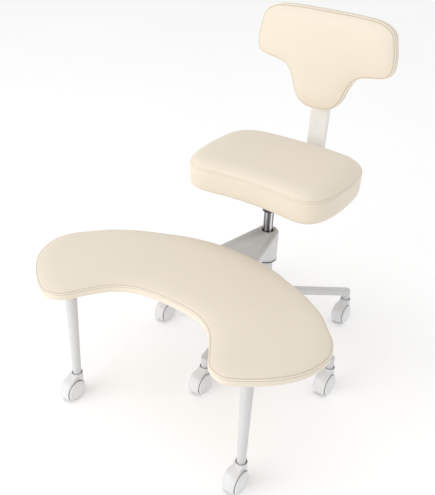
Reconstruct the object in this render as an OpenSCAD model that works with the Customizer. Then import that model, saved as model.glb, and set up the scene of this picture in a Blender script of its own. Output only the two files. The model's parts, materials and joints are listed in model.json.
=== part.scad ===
// Cross-legged office chair: a gas-lifted seat and backrest on a five-armed castered base,
// with a crescent footrest that swings round the column on two castered legs.
// Millimetres. The column's axis is Z, the floor is z = 0 and the sitter faces -Y.

/* [Seat] */
// Width of the seat across its seam
seat_w = 438; // [400:1:460]
// Depth of the seat from its front lobes to its back edge
seat_d = 320; // [300:1:340]
// Distance of the seat's front lobes ahead of the column
seat_ahead = 137; // [130:1:150]
// Height of the seat board's underside above the floor
seat_underside_z = 503; // [490:1:540]
// Height of the upholstered side band, from the underside to the seam
seat_band_h = 61; // [50:1:75]
// Height of the seat's crown above its seam
seat_crown = 25; // [15:1:35]
// Thickness of the plywood seat board
seat_board_t = 12; // [12:1:18]

/* [Backrest] */
// Width of the backrest across its two lobes
back_w = 414; // [380:1:440]
// Height of the backrest from the end of its tongue to its top edge
back_h = 271; // [260:1:300]
// Thickness of the backrest from its rear face to the front seam
back_t = 30; // [26:1:40]
// Height of the backrest's crown ahead of its front seam
back_crown = 11; // [6:1:16]
// Height of the tongue's end above the back bar's bend
back_rise = 119; // [100:1:140]
// Angle that the backrest leans back from upright
back_recline = 3; // [0:0.5:8]
// Thickness of the plywood back board
back_board_t = 10; // [9:1:14]

/* [Back bar] */
// Width of the back bar
bar_w = 58; // [50:1:66]
// Depth of the back bar's section
bar_t = 16; // [12:1:20]
// Wall thickness of the back bar
bar_wall = 2; // [1.5:0.5:3]
// Inside radius of the back bar's bend
bar_bend_r = 45; // [40:1:60]
// Distance from the seat's back edge to the start of the bend
bar_gap = 17; // [10:1:30]
// Length of the bar that laps the back board
bar_lap = 175; // [150:1:210]

/* [Column] */
// Outer diameter of the painted column tube
column_d = 45; // [44:0.5:50]
// Wall thickness of the column tube
column_wall = 2; // [1.5:0.5:2.5]
// Height of the column tube's top above the floor
column_top_z = 362; // [350:1:372]
// Height of the column tube's lower end above the floor
column_bottom_z = 60; // [50:1:70]
// Outer diameter of the chrome gas cylinder
cylinder_d = 28; // [27:0.5:28]
// Length of the gas cylinder
cylinder_len = 292; // [280:1:300]
// Diameter of the piston rod
rod_d = 10; // [8:1:11]
// Travel of the seat above its height at rest
lift_up = 45; // [30:1:50]

/* [Swing arm] */
// Outer diameter of the swing arm's hub
swing_hub_d = 64; // [62:1:70]
// Height of the swing arm's hub
swing_hub_h = 90; // [80:1:100]
// Thickness of the swing arm's top plate
swing_plate_t = 5; // [4:0.5:6]
// Thickness of the swing arm's side webs
swing_web_t = 3; // [2:0.5:4]
// Angle that each side of the swing arm splays outwards
swing_splay = 11.8; // [10:0.2:14]
// Length of the swing arm under the footrest
swing_lap = 150; // [130:1:170]
// Diameter of the hole that the gas cylinder passes through
swing_hole_d = 35; // [33:0.5:36]

/* [Footrest] */
// Width of the crescent across its two lobes
foot_w = 810; // [760:5:840]
// Depth of the crescent from its outer edge to its two tips
foot_d = 432; // [410:1:450]
// Distance from the column to the crescent's outer edge
foot_gap = 183; // [175:1:200]
// Height of the upholstered side band, from the underside to the seam
foot_band_h = 20; // [18:1:26]
// Height of the footrest's crown above its seam
foot_crown = 10; // [6:1:16]
// Thickness of the plywood footrest board
foot_board_t = 12; // [9:1:15]
// Distance of each leg in from the footrest's side tip
leg_in = 142; // [125:1:155]
// Distance of each leg behind the crescent's outer edge
leg_back = 338; // [325:1:350]
// Diameter of each leg at its top
leg_top_d = 33; // [30:1:36]
// Diameter of each leg at its lower end
leg_end_d = 22; // [20:1:24]

/* [Base] */
// Distance from the column to each caster's pivot
base_r = 294; // [280:1:310]
// Width of each arm
arm_w = 22; // [20:1:26]
// Thickness of each arm
arm_t = 17; // [12:1:18]
// Angle that each arm slopes down
arm_slope = 12.9; // [11:0.1:14]
// Height of the top of each arm's outer end above the floor
arm_end_z = 103; // [98:1:108]
// Outer diameter of the base hub
hub_d = 66; // [62:1:76]
// Height of the base hub
hub_h = 54; // [45:1:60]

/* [Casters] */
// Diameter of each caster wheel
wheel_d = 58; // [50:1:59]
// Width of each of a caster's two wheels
wheel_w = 17; // [14:1:18]
// Distance of the wheels' axle behind the caster's pivot
caster_trail = 22; // [20:1:24]
// Height of the face that each caster carries above the floor
caster_h = 64; // [63:0.5:66]
// Direction in which the casters trail at rest
caster_turn = -90; // [-180:5:180]

/* [Hidden] */
$fn = 64;
arm_count = 5;
first_arm_angle = -90;

// Fits: a pressed piece, a running piece and the overrun of a cut
press_gap = 0.05;
running_gap = 0.1;
axial_gap = 0.2;
pad_gap = 0.4;
over = 1;

// Upholstery: the lip of foam round each board, the lip's lift and the roll of the lower edge
lip_w = 8;
lip_lift = 1;
roll_r = 5;
outline_steps = 2;

// Outline of the seat: half-width shares, then depth shares of its front and back edges
seat_outline_shares = [
    [0, 0.04, 1], [0.2, 0.034, 0.999], [0.4, 0.02, 0.994], [0.6, 0.001, 0.978], [0.72, 0.005, 0.955],
    [0.82, 0.03, 0.915], [0.9, 0.09, 0.86], [0.95, 0.165, 0.79], [0.985, 0.29, 0.68], [1, 0.48, 0.48]];
// Crown of the seat: how far in each ring lies, as shares of the rim, and its share of the crown
seat_crown_shares = [[0.1, 0.42], [0.35, 0.72], [1, 0.93]];
seat_rim_w = 45;

// Outline of the backrest: half-width shares, then shares of its height down to its two edges
back_outline_shares = [
    [0, 1, 0], [0.12, 0.995, 0], [0.2, 0.978, 0], [0.28, 0.939, 0], [0.34, 0.877, 0], [0.378, 0.812, 0.001],
    [0.411, 0.74, 0.002], [0.46, 0.668, 0.003], [0.517, 0.617, 0.005], [0.604, 0.585, 0.01],
    [0.725, 0.567, 0.022], [0.845, 0.552, 0.058], [0.928, 0.532, 0.115], [0.97, 0.5, 0.23],
    [0.992, 0.462, 0.32], [1, 0.4, 0.4]];
back_crown_shares = [[0.15, 0.45], [1, 0.9]];
back_rim_w = 22;

// Outline of the footrest: half-width shares, then depth shares of its inner and outer edges
foot_outline_shares = [
    [0, 0.653, 0], [0.12, 0.657, 0.005], [0.24, 0.68, 0.023], [0.353, 0.745, 0.053], [0.444, 0.857, 0.088],
    [0.52, 0.965, 0.118], [0.617, 1, 0.16], [0.7, 0.97, 0.206], [0.8, 0.902, 0.273], [0.89, 0.82, 0.365],
    [0.95, 0.741, 0.43], [0.985, 0.66, 0.495], [1, 0.572, 0.572]];
foot_crown_shares = [[0.15, 0.5], [0.5, 0.82], [1, 0.95]];
foot_rim_w = 30;

// Share of the half-width at which each pad's middle line ends, and a ring's furthest way to it
spine_share = 0.86;
ring_limit_share = 0.8;

// Radii of the round pieces
wheel_r = wheel_d / 2;
hub_r = hub_d / 2;
column_r = column_d / 2;
cylinder_r = cylinder_d / 2;
rod_r = rod_d / 2;

// Caster: hood, collar, stem and axle
axle_r = 3;
hood_gap = 1.5;
hood_t = 2.5;
hood_web_t = 7;
wheel_gap = 1;
hood_inset = 6;
hood_inner_r = wheel_r + hood_gap;
hood_outer_r = hood_inner_r + hood_t;
hood_half_w = hood_web_t / 2 + wheel_gap + wheel_w - hood_inset;
hood_tail_z = 6;
hood_front_z = 38;
shoulder_x = 11;
shoulder_half_w = 13;
shoulder_bite = 0.5;
collar_r = 15.5;
collar_wall = 1.5;
collar_rim_h = 8;
collar_foot_z = 46;
spigot_r = 11.3;
stem_r = 5.5;
stem_shoulder_r = 8;
stem_shoulder_h = 3;
stem_grip = 32;
stem_drop = 6;
collar_floor_z = caster_h - stem_shoulder_h - axial_gap;
collar_rim_z = caster_h + collar_rim_h;
stem_end_z = collar_floor_z - stem_drop;
axle_boss_r = 9;
wheel_dish = 2;
wheel_cap = 2.5;
wheel_edge = 3;
wheel_disc_share = 0.6;
axle_half = hood_web_t / 2 + wheel_gap + wheel_w - wheel_dish - wheel_cap - axial_gap;

// Base: arm end, hub and stop collar
arm_end_r = base_r + spigot_r;
hub_rise = 0.2;
hub_top_z = arm_top_z(column_r) + hub_rise;
hub_bottom_z = hub_top_z - hub_h;
column_collar_w = 4;
column_collar_r = column_r + column_collar_w;
column_collar_h = 6;
column_floor_t = 4;

// Gas spring inside the column
bush_len = 60;
bush_flange_h = 2;
shoulder_r = 8;
shoulder_h = 4;
race_t = 2;
ball_r = 2;
ball_count = 8;
race_gap = 1;
bearing_inner_r = rod_r + race_gap;
bearing_outer_r = 16;
bearing_z = column_bottom_z + column_floor_t + running_gap;
bearing_h = 2 * (race_t + ball_r);
clip_t = 2;
clip_r = 9;
groove_depth = 1;
rod_end = 2;
plug_h = 12;
cylinder_wall = 2;
cap_h = 17;
piston_h = 12;

// Seat mechanism: mounting plate, tray, socket and lever ears
mech_plate_w = 156;
mech_plate_t = 3;
mech_front = 75;
mech_back = 55;
tray_w = 116;
tray_d = 100;
tray_h = 40;
tray_wall = 2.5;
socket_r = 19;
socket_up = 9;
socket_len = 38;
ear_t = 4;
ear_w = 12;
slot_w = 14;
lever_pivot_x = 40;
lever_r = 4;
lever_pin_r = 3;
lever_len = 112;
lever_tip = 6;
grip_len = 62;
grip_w = 26;
grip_t = 9;
grip_lap = 20;
pin_r = 3;
pin_up = 8;
pin_down = 10;

// Screws: shank, head and bite into a board
screw_r = 3;
screw_head_r = 6;
screw_head_h = 3.5;
screw_bite = 9;
back_screw_bite = 7;
mech_screw_in = 11;
bar_screw_in = 22;
small_screw_r = 2.2;
small_head_r = 4.2;
small_head_h = 2;

// Swing arm, its bushes and washer
swing_bush_len = 20;
swing_bush_wall = 2.4;
swing_flange_t = 3;
swing_flange_rim = 0.6;
swing_washer_t = 2;
swing_tip_h = 26;
swing_gusset_len = 130;
swing_screw_in = 32;
swing_screw_row = 80;

// Leg plates and legs
leg_plate_w = 84;
leg_plate_t = 3;
leg_plug_h = 24;
leg_wall = 1.6;
leg_foot_h = 45;
leg_screw_in = 12;

swing_under_z = column_top_z + bush_flange_h + swing_washer_t;
swing_top_z = swing_under_z + swing_plate_t;
leg_top_z = swing_top_z - leg_plate_t;
swing_bottom_z = swing_top_z - swing_hub_h;
swing_hub_r = swing_hub_d / 2;
swing_face_in = 0.6;
swing_face_r = swing_hub_r - swing_face_in;
swing_bore_r = column_r + running_gap + swing_bush_wall;
swing_reach = foot_gap + swing_lap;
leg_x = foot_w / 2 - leg_in;
leg_y = foot_gap + leg_back;

tray_floor_z = seat_underside_z - tray_h;
cylinder_top_z = tray_floor_z + socket_up;
cylinder_bottom_z = cylinder_top_z - cylinder_len;
lever_z = cylinder_top_z + pin_up + lever_r;

tail_gap = 8;
bar_weld = 1;
bend_ease = 0.2;
seat_back_y = seat_d - seat_ahead;
bar_bend_y = seat_back_y + bar_gap;
bar_front_y = mech_back + tail_gap;
bar_line_y = bar_bend_y + bar_bend_r * cos(back_recline);
bar_line_z = seat_underside_z + bar_bend_r * (1 - sin(back_recline));

// Pivot of each caster: five on the base, then the left and the right footrest leg
caster_points = concat(
    [for (i = [0 : arm_count - 1]) base_r * [cos(arm_angle(i)), sin(arm_angle(i))]],
    [[-leg_x, -leg_y], [leg_x, -leg_y]]);
caster_count = len(caster_points);

// Half-width of the swing arm at a distance ahead of the column, and radii of a leg at a height
function swing_half_w(y) = swing_face_r / cos(swing_splay) + y * tan(swing_splay);
function leg_outer_r(z) = leg_end_d / 2
    + (leg_top_d - leg_end_d) / 2 * (z - caster_h) / (leg_top_z - caster_h);
function leg_inner_r(z) = leg_outer_r(z) - leg_wall;
function arm_angle(i) = first_arm_angle + i * 360 / arm_count;
function arm_top_z(r) = arm_end_z + (arm_end_r - r) * tan(arm_slope);

// A point on a smooth curve through b and c, at share t of the way
function curve_point(a, b, c, d, t) =
    (2 * b + (c - a) * t + (2 * a - 5 * b + 4 * c - d) * t ^ 2 + (3 * b - a - 3 * c + d) * t ^ 3) / 2;

function smooth_loop(p) = let (n = len(p))
    [for (i = [0 : n - 1], k = [0 : outline_steps - 1])
        curve_point(p[(i + n - 1) % n], p[i], p[(i + 1) % n], p[(i + 2) % n], k / outline_steps)];

// A closed outline, from its left tip along one edge to its right tip and back along the other
function outline(shares, half_w, length) = let (
        n = len(shares) - 1,
        left = [for (i = [n : -1 : 1]) [-shares[i][0] * half_w, shares[i][1] * length]],
        right = [for (i = [0 : n]) [shares[i][0] * half_w, shares[i][1] * length]],
        back_right = [for (i = [n - 1 : -1 : 0]) [shares[i][0] * half_w, shares[i][2] * length]],
        back_left = [for (i = [1 : n - 1]) [-shares[i][0] * half_w, shares[i][2] * length]])
    smooth_loop(concat(left, right, back_right, back_left));

// Move each point of an anticlockwise loop inwards by a distance
function inset(loop, distance) = let (n = len(loop))
    [for (i = [0 : n - 1]) let (
            ahead = loop[(i + 1) % n] - loop[(i + n - 1) % n],
            inward = [-ahead[1], ahead[0]] / norm(ahead))
        loop[i] + inward * distance];

// The point on a pad's middle line that faces outline point i
function spine_point(loop, i) = let (n = len(loop), middle = (loop[i] + loop[(n - i) % n]) / 2)
    [middle[0] * spine_share, middle[1]];

// One ring of a pad: outline points drawn towards the middle line, at height z
function pad_ring(loop, distance, z) = [for (i = [0 : len(loop) - 1])
    let (to_spine = spine_point(loop, i) - loop[i],
        share = min(distance / norm(to_spine), ring_limit_share))
    concat(loop[i] + to_spine * share, z)];

function at_height(loop, z) = [for (p = loop) concat(p, z)];

// Upholstered pad: a pocket for its board, rolled lower edges, straight sides and a crowned top
module pad(loop, band_h, crown, crown_shares, rim_w, board_t) {
    n = len(loop);
    half = n / 2;
    floor_z = board_t + pad_gap;
    pocket = inset(loop, lip_w - pad_gap);
    rings = concat(
        [at_height(pocket, floor_z), at_height(pocket, lip_lift), at_height(inset(loop, roll_r), lip_lift),
            at_height(loop, lip_lift + roll_r), at_height(loop, band_h)],
        [for (s = crown_shares) pad_ring(loop, s[0] * rim_w, band_h + s[1] * crown)]);
    levels = len(rings);
    low_spine = levels * n;
    high_spine = low_spine + half + 1;
    points = concat([for (ring = rings) each ring],
        [for (i = [0 : half]) concat(spine_point(loop, i), floor_z)],
        [for (i = [0 : half]) concat(spine_point(loop, i), band_h + crown)]);
    faces = concat(
        [for (k = [0 : levels - 2], i = [0 : n - 1]) let (a = k * n + i, b = k * n + (i + 1) % n)
            each [[a, a + n, b + n], [a, b + n, b]]],
        [for (i = [0 : n - 1]) let (
                j = (i + 1) % n, low_a = low_spine + min(i, n - i), low_b = low_spine + min(j, n - j))
            each concat([[i, j, low_a]], low_a == low_b ? [] : [[j, low_b, low_a]])],
        [for (i = [0 : n - 1]) let (
                j = (i + 1) % n, top = (levels - 1) * n,
                high_a = high_spine + min(i, n - i), high_b = high_spine + min(j, n - j))
            each concat([[top + i, high_a, top + j]], high_a == high_b ? [] : [[top + j, high_a, high_b]])]);
    polyhedron(points, faces);
}

module tube(outer_r, inner_r, h) {
    difference() {
        cylinder(r = outer_r, h = h);
        translate([0, 0, -over]) cylinder(r = inner_r, h = h + 2 * over);
    }
}

// Screw with its head's underside at z = 0 and its shank pointing up
module screw(shank_r, head_r, head_h, length) {
    translate([0, 0, -head_h]) cylinder(r = head_r, h = head_h);
    translate([0, 0, -head_h / 2]) cylinder(r = shank_r, h = length + head_h / 2);
}

module caster_place(i) {
    translate(concat(caster_points[i], 0)) rotate([0, 0, caster_turn]) children();
}

// Sloped arm along +x with a round post under its end
module base_arm() {
    start_x = column_r + over;
    end_x = arm_end_r + over;
    neck_x = base_r - spigot_r - over;
    drop = arm_t / cos(arm_slope);
    intersection() {
        rotate([90, 0, 0]) linear_extrude(arm_w + 2 * over, center = true) polygon([
            [start_x, arm_top_z(start_x)], [end_x, arm_top_z(end_x)], [end_x, caster_h], [neck_x, caster_h],
            [neck_x, arm_top_z(neck_x) - drop], [start_x, arm_top_z(start_x) - drop]]);
        union() {
            translate([base_r, 0, caster_h]) cylinder(r = spigot_r, h = arm_end_z);
            translate([0, -arm_w / 2, arm_top_z(base_r) - drop]) cube([base_r, arm_w, arm_end_z]);
        }
    }
}

module star_base() {
    color("Gainsboro") difference() {
        union() {
            translate([0, 0, hub_bottom_z]) cylinder(r = hub_r, h = hub_h);
            for (i = [0 : arm_count - 1]) rotate([0, 0, arm_angle(i)]) base_arm();
        }
        translate([0, 0, hub_bottom_z - over])
            cylinder(r = column_r + press_gap, h = hub_h + 2 * over);
        for (i = [0 : arm_count - 1]) translate(concat(caster_points[i], caster_h - over))
            cylinder(r = stem_r + press_gap, h = stem_grip + 2 * over);
    }
}

module column_tube() {
    color("LightGray") difference() {
        union() {
            translate([0, 0, column_bottom_z])
                cylinder(r = column_r, h = column_top_z - column_bottom_z);
            translate([0, 0, hub_top_z]) cylinder(r = column_collar_r, h = column_collar_h);
        }
        translate([0, 0, column_bottom_z + column_floor_t])
            cylinder(r = column_r - column_wall, h = column_top_z);
        translate([0, 0, column_bottom_z - over])
            cylinder(r = rod_r + running_gap, h = column_floor_t + 2 * over);
    }
}

module guide_bush() {
    color("DimGray") difference() {
        union() {
            translate([0, 0, column_top_z - bush_len])
                cylinder(r = column_r - column_wall - press_gap, h = bush_len + over);
            translate([0, 0, column_top_z]) cylinder(r = column_r, h = bush_flange_h);
        }
        translate([0, 0, column_top_z - bush_len - over])
            cylinder(r = cylinder_r + running_gap, h = bush_len + bush_flange_h + 2 * over);
    }
}

// Stem that plugs into a leg or an arm and carries a caster's hood
module caster_stem() {
    translate([0, 0, stem_end_z + axial_gap])
        cylinder(r = stem_r, h = caster_h + stem_grip - stem_end_z - axial_gap);
    translate([0, 0, caster_h - stem_shoulder_h]) cylinder(r = stem_shoulder_r, h = stem_shoulder_h);
}

module base_stems() {
    color("Silver") for (i = [0 : arm_count - 1]) translate(concat(caster_points[i], 0)) caster_stem();
}

module leg_stems() {
    color("Silver") for (i = [arm_count : caster_count - 1])
        translate(concat(caster_points[i], 0)) caster_stem();
}

module piston_rod() {
    clip_z = column_bottom_z - running_gap - clip_t;
    piston_z = cylinder_bottom_z + plug_h + lift_up + axial_gap;
    color("Silver") difference() {
        union() {
            translate([0, 0, clip_z - rod_end])
                cylinder(r = rod_r, h = piston_z + piston_h - clip_z + rod_end);
            translate([0, 0, bearing_z + bearing_h]) cylinder(r = shoulder_r, h = shoulder_h);
            translate([0, 0, piston_z])
                cylinder(r = cylinder_r - cylinder_wall - running_gap, h = piston_h);
        }
        translate([0, 0, clip_z]) tube(rod_r + over, rod_r - groove_depth, clip_t);
    }
}

module thrust_bearing() {
    color("Silver") {
        for (z = [bearing_z, bearing_z + bearing_h - race_t])
            translate([0, 0, z]) tube(bearing_outer_r, bearing_inner_r, race_t);
        for (i = [0 : ball_count - 1]) rotate([0, 0, i * 360 / ball_count])
            translate([(bearing_inner_r + bearing_outer_r) / 2, 0, bearing_z + bearing_h / 2])
                sphere(r = ball_r - press_gap);
    }
}

module rod_clip() {
    mouth_w = 2 * (rod_r - groove_depth);
    color("DarkGray") translate([0, 0, column_bottom_z - running_gap - clip_t]) difference() {
        tube(clip_r, rod_r - groove_depth + press_gap, clip_t);
        translate([0, -mouth_w / 2, -over]) cube([clip_r + over, mouth_w, clip_t + 2 * over]);
    }
}

module gas_cylinder() {
    color("White") translate([0, 0, cylinder_bottom_z]) difference() {
        cylinder(r = cylinder_r, h = cylinder_len);
        translate([0, 0, plug_h])
            cylinder(r = cylinder_r - cylinder_wall, h = cylinder_len - plug_h - cap_h);
        translate([0, 0, -over]) cylinder(r = rod_r + running_gap, h = plug_h + 2 * over);
        translate([0, 0, cylinder_len - cap_h - over])
            cylinder(r = pin_r + running_gap, h = cap_h + 2 * over);
    }
}

module release_pin() {
    color("DarkGray") translate([0, 0, cylinder_top_z - pin_down])
        cylinder(r = pin_r, h = pin_down + pin_up - axial_gap);
}

module mechanism_screw_places() {
    reach = mech_plate_w / 2 - mech_screw_in;
    for (x = [-reach, reach], y = [-mech_front + mech_screw_in, mech_back - mech_screw_in])
        translate([x, y, seat_underside_z - mech_plate_t]) children();
}

module seat_mechanism() {
    plate_z = seat_underside_z - mech_plate_t;
    inner_w = tray_w - 2 * tray_wall;
    inner_d = tray_d - 2 * tray_wall;
    ear_top_z = lever_z + lever_pin_r + ear_t;
    color("DimGray") difference() {
        union() {
            translate([-mech_plate_w / 2, -mech_front, plate_z])
                cube([mech_plate_w, mech_front + mech_back, mech_plate_t]);
            translate([-tray_w / 2, -tray_d / 2, tray_floor_z])
                cube([tray_w, tray_d, plate_z + over - tray_floor_z]);
            translate([0, 0, cylinder_top_z - socket_len]) cylinder(r = socket_r, h = socket_len);
        }
        difference() {
            translate([-inner_w / 2, -inner_d / 2, tray_floor_z + tray_wall])
                cube([inner_w, inner_d, tray_h]);
            translate([0, 0, tray_floor_z]) cylinder(r = socket_r, h = socket_up);
            for (y = [-slot_w / 2 - ear_t, slot_w / 2])
                translate([-lever_pivot_x - ear_w / 2, y, tray_floor_z])
                    cube([ear_w, ear_t, ear_top_z - tray_floor_z]);
        }
        translate([0, 0, cylinder_top_z - socket_len - over])
            cylinder(r = cylinder_r + press_gap, h = socket_len + 2 * over);
        translate([-lever_pivot_x, slot_w, lever_z]) rotate([90, 0, 0])
            cylinder(r = lever_pin_r + running_gap, h = 2 * slot_w);
        translate([-tray_w / 2 - over, -slot_w / 2, lever_z - slot_w / 2])
            cube([tray_wall + 2 * over, slot_w, slot_w]);
        mechanism_screw_places() translate([0, 0, -over])
            cylinder(r = screw_r + press_gap, h = mech_plate_t + 2 * over);
    }
}

module lift_lever() {
    pin_len = slot_w + 2 * ear_t;
    color("DarkGray") {
        translate([lever_tip, 0, lever_z]) rotate([0, -90, 0])
            cylinder(r = lever_r, h = lever_tip + lever_len);
        translate([-lever_pivot_x, pin_len / 2, lever_z]) rotate([90, 0, 0])
            cylinder(r = lever_pin_r, h = pin_len);
    }
}

module lever_grip() {
    start_x = -lever_len + grip_lap;
    end_r = grip_w / 2;
    color("DimGray") difference() {
        translate([0, 0, lever_z - grip_t / 2]) union() {
            translate([start_x - grip_len + end_r, -grip_w / 2, 0]) cube([grip_len - end_r, grip_w, grip_t]);
            translate([start_x - grip_len + end_r, 0, 0]) cylinder(r = end_r, h = grip_t);
        }
        translate([start_x + over, 0, lever_z]) rotate([0, -90, 0])
            cylinder(r = lever_r + press_gap, h = grip_lap + over + press_gap);
    }
}

function seat_loop() = [for (p = outline(seat_outline_shares, seat_w / 2, seat_d)) p - [0, seat_ahead]];

module bar_screw_places() {
    for (y = [bar_front_y + bar_screw_in, seat_back_y - bar_screw_in])
        translate([0, y, seat_underside_z - bar_t]) children();
}

module seat_board() {
    color("BurlyWood") difference() {
        translate([0, 0, seat_underside_z]) linear_extrude(seat_board_t) polygon(inset(seat_loop(), lip_w));
        mechanism_screw_places() cylinder(r = screw_r + press_gap, h = mech_plate_t + screw_bite + over);
        bar_screw_places() cylinder(r = screw_r + press_gap, h = bar_t + screw_bite + over);
    }
}

module seat_cushion() {
    color("Bisque") translate([0, 0, seat_underside_z])
        pad(seat_loop(), seat_band_h, seat_crown, seat_crown_shares, seat_rim_w, seat_board_t);
}

module mechanism_screws() {
    color("Silver") mechanism_screw_places()
        screw(screw_r, screw_head_r, screw_head_h, mech_plate_t + screw_bite);
}

// Section of the back bar: a flat tube with chamfered corners, its inner face along y = 0
module bar_section(shrink) {
    corner = bar_t / 4;
    low = shrink;
    high = bar_t - shrink;
    half = bar_w / 2 - shrink;
    polygon([[-half + corner, low], [half - corner, low], [half, low + corner], [half, high - corner],
        [half - corner, high], [-half + corner, high], [-half, high - corner], [-half, low + corner]]);
}

// Frame of the upright part of the bar: z runs up its front face and y points to its back
module back_frame() {
    translate([0, bar_line_y, bar_line_z]) rotate([-back_recline, 0, 0]) children();
}

// The bar's J: a tail, a slightly fuller bend and an upright, run past its two ends by an overrun
module bar_run(shrink, bend_shrink, overrun) {
    translate([0, bar_front_y - overrun, seat_underside_z]) rotate([-90, 0, 0])
        linear_extrude(bar_bend_y - bar_front_y + overrun + bar_weld) bar_section(shrink);
    translate([0, bar_bend_y, seat_underside_z + bar_bend_r]) rotate([0, 90, 0])
        rotate_extrude(angle = 90 - back_recline)
            translate([bar_bend_r, 0]) rotate([0, 0, -90]) bar_section(bend_shrink);
    back_frame() translate([0, 0, -bar_weld])
        linear_extrude(back_rise + bar_lap + bar_weld + overrun) bar_section(shrink);
}

module back_screw_places() {
    for (z = [back_rise + bar_screw_in, back_rise + bar_lap - bar_screw_in])
        back_frame() translate([0, bar_t, z]) rotate([90, 0, 0]) children();
}

module back_bar() {
    color("WhiteSmoke") difference() {
        bar_run(bend_ease, 0, 0);
        bar_run(bar_wall, bar_wall + bend_ease, over);
        bar_screw_places() translate([0, 0, -over]) cylinder(r = screw_r + press_gap, h = bar_t + 2 * over);
        back_screw_places() translate([0, 0, -over]) cylinder(r = screw_r + press_gap, h = bar_t + 2 * over);
    }
}

module bar_screws() {
    color("Silver") bar_screw_places() screw(screw_r, screw_head_r, screw_head_h, bar_t + screw_bite);
}

function back_loop() = [for (p = outline(back_outline_shares, back_w / 2, -back_h))
    p + [0, back_rise + back_h]];

// Stand a backrest piece on the bar: its outline's y runs up the bar and its front faces -Y
module back_place() {
    back_frame() rotate([90, 0, 0]) children();
}

module back_board() {
    color("BurlyWood") difference() {
        back_place() linear_extrude(back_board_t) polygon(inset(back_loop(), lip_w));
        back_screw_places() cylinder(r = screw_r + press_gap, h = bar_t + back_screw_bite + over);
    }
}

module back_cushion() {
    color("Bisque") back_place()
        pad(back_loop(), back_t, back_crown, back_crown_shares, back_rim_w, back_board_t);
}

module back_screws() {
    color("Silver") back_screw_places()
        screw(screw_r, screw_head_r, screw_head_h, bar_t + back_screw_bite);
}

module swing_screw_places() {
    for (row = [0, 1], side = [-1, 1]) let (y = foot_gap + swing_screw_in + row * swing_screw_row)
        translate([side * (swing_half_w(y) - swing_screw_in), -y, swing_under_z]) children();
}

module swing_web() {
    length = (swing_reach + swing_face_r * sin(swing_splay)) / cos(swing_splay);
    rotate([0, 0, swing_splay]) translate([swing_face_r - swing_web_t, 0, 0]) rotate([90, 0, 90])
        linear_extrude(swing_web_t) polygon([
            [0, swing_bottom_z], [0, swing_top_z], [-length, swing_top_z],
            [-length, swing_top_z - swing_tip_h], [-swing_gusset_len, swing_top_z - swing_tip_h]]);
}

module swing_arm() {
    root = swing_face_r * [cos(swing_splay), sin(swing_splay)];
    tip = [swing_half_w(swing_reach), -swing_reach];
    color("Silver") difference() {
        union() {
            translate([0, 0, swing_bottom_z]) cylinder(r = swing_hub_r, h = swing_hub_h);
            translate([0, 0, swing_under_z]) linear_extrude(swing_plate_t)
                polygon([tip, root, [-root[0], root[1]], [-tip[0], tip[1]]]);
            swing_web();
            mirror([1, 0, 0]) swing_web();
        }
        translate([0, 0, swing_bottom_z - over])
            cylinder(r = swing_bore_r + press_gap, h = swing_under_z - swing_bottom_z + over);
        translate([0, 0, swing_under_z - over]) cylinder(r = swing_hole_d / 2, h = swing_plate_t + 2 * over);
        swing_screw_places() translate([0, 0, -over])
            cylinder(r = screw_r + press_gap, h = swing_plate_t + 2 * over);
    }
}

module upper_swing_bush() {
    color("DimGray") translate([0, 0, swing_under_z - swing_washer_t - axial_gap - swing_bush_len])
        tube(swing_bore_r, column_r + running_gap, swing_bush_len);
}

module lower_swing_bush() {
    color("DimGray") difference() {
        translate([0, 0, swing_bottom_z]) union() {
            cylinder(r = swing_bore_r, h = swing_bush_len);
            translate([0, 0, -swing_flange_t])
                cylinder(r = swing_hub_r + swing_flange_rim, h = swing_flange_t);
        }
        translate([0, 0, swing_bottom_z - swing_flange_t - over])
            cylinder(r = column_r + running_gap, h = swing_bush_len + swing_flange_t + 2 * over);
    }
}

module swing_washer() {
    color("DimGray") translate([0, 0, swing_under_z - swing_washer_t + running_gap])
        tube(swing_bore_r - press_gap, swing_hole_d / 2, swing_washer_t - running_gap);
}

function foot_loop() = [for (p = outline(foot_outline_shares, foot_w / 2, -foot_d)) p - [0, foot_gap]];

module footrest_board() {
    color("BurlyWood") difference() {
        translate([0, 0, swing_top_z]) linear_extrude(foot_board_t) polygon(inset(foot_loop(), lip_w));
        swing_screw_places() cylinder(r = screw_r + press_gap, h = swing_plate_t + screw_bite + over);
        leg_screw_places() cylinder(r = small_screw_r + press_gap, h = leg_plate_t + screw_bite + over);
    }
}

module footrest_cushion() {
    color("Bisque") translate([0, 0, swing_top_z])
        pad(foot_loop(), foot_band_h, foot_crown, foot_crown_shares, foot_rim_w, foot_board_t);
}

module footrest_screws() {
    color("Silver") swing_screw_places()
        screw(screw_r, screw_head_r, screw_head_h, swing_plate_t + screw_bite);
}

module leg_screw_places() {
    reach = leg_plate_w / 2 - leg_screw_in;
    for (side = [-1, 1], x = [-reach, reach], y = [-reach, reach])
        translate([side * leg_x + x, y - leg_y, swing_top_z - leg_plate_t]) children();
}

module leg_plates() {
    color("Silver") for (side = [-1, 1]) translate([side * leg_x, -leg_y, 0]) {
        difference() {
            translate([-leg_plate_w / 2, -leg_plate_w / 2, swing_top_z - leg_plate_t])
                cube([leg_plate_w, leg_plate_w, leg_plate_t]);
            translate([-side * leg_x, leg_y, 0]) leg_screw_places() translate([0, 0, -over])
                cylinder(r = small_screw_r + press_gap, h = leg_plate_t + 2 * over);
        }
        translate([0, 0, leg_top_z - leg_plug_h]) cylinder(
            r1 = leg_inner_r(leg_top_z - leg_plug_h) - running_gap, r2 = leg_inner_r(leg_top_z) - running_gap,
            h = leg_plug_h);
    }
}

module leg_screws() {
    color("Silver") leg_screw_places()
        screw(small_screw_r, small_head_r, small_head_h, leg_plate_t + screw_bite);
}

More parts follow.
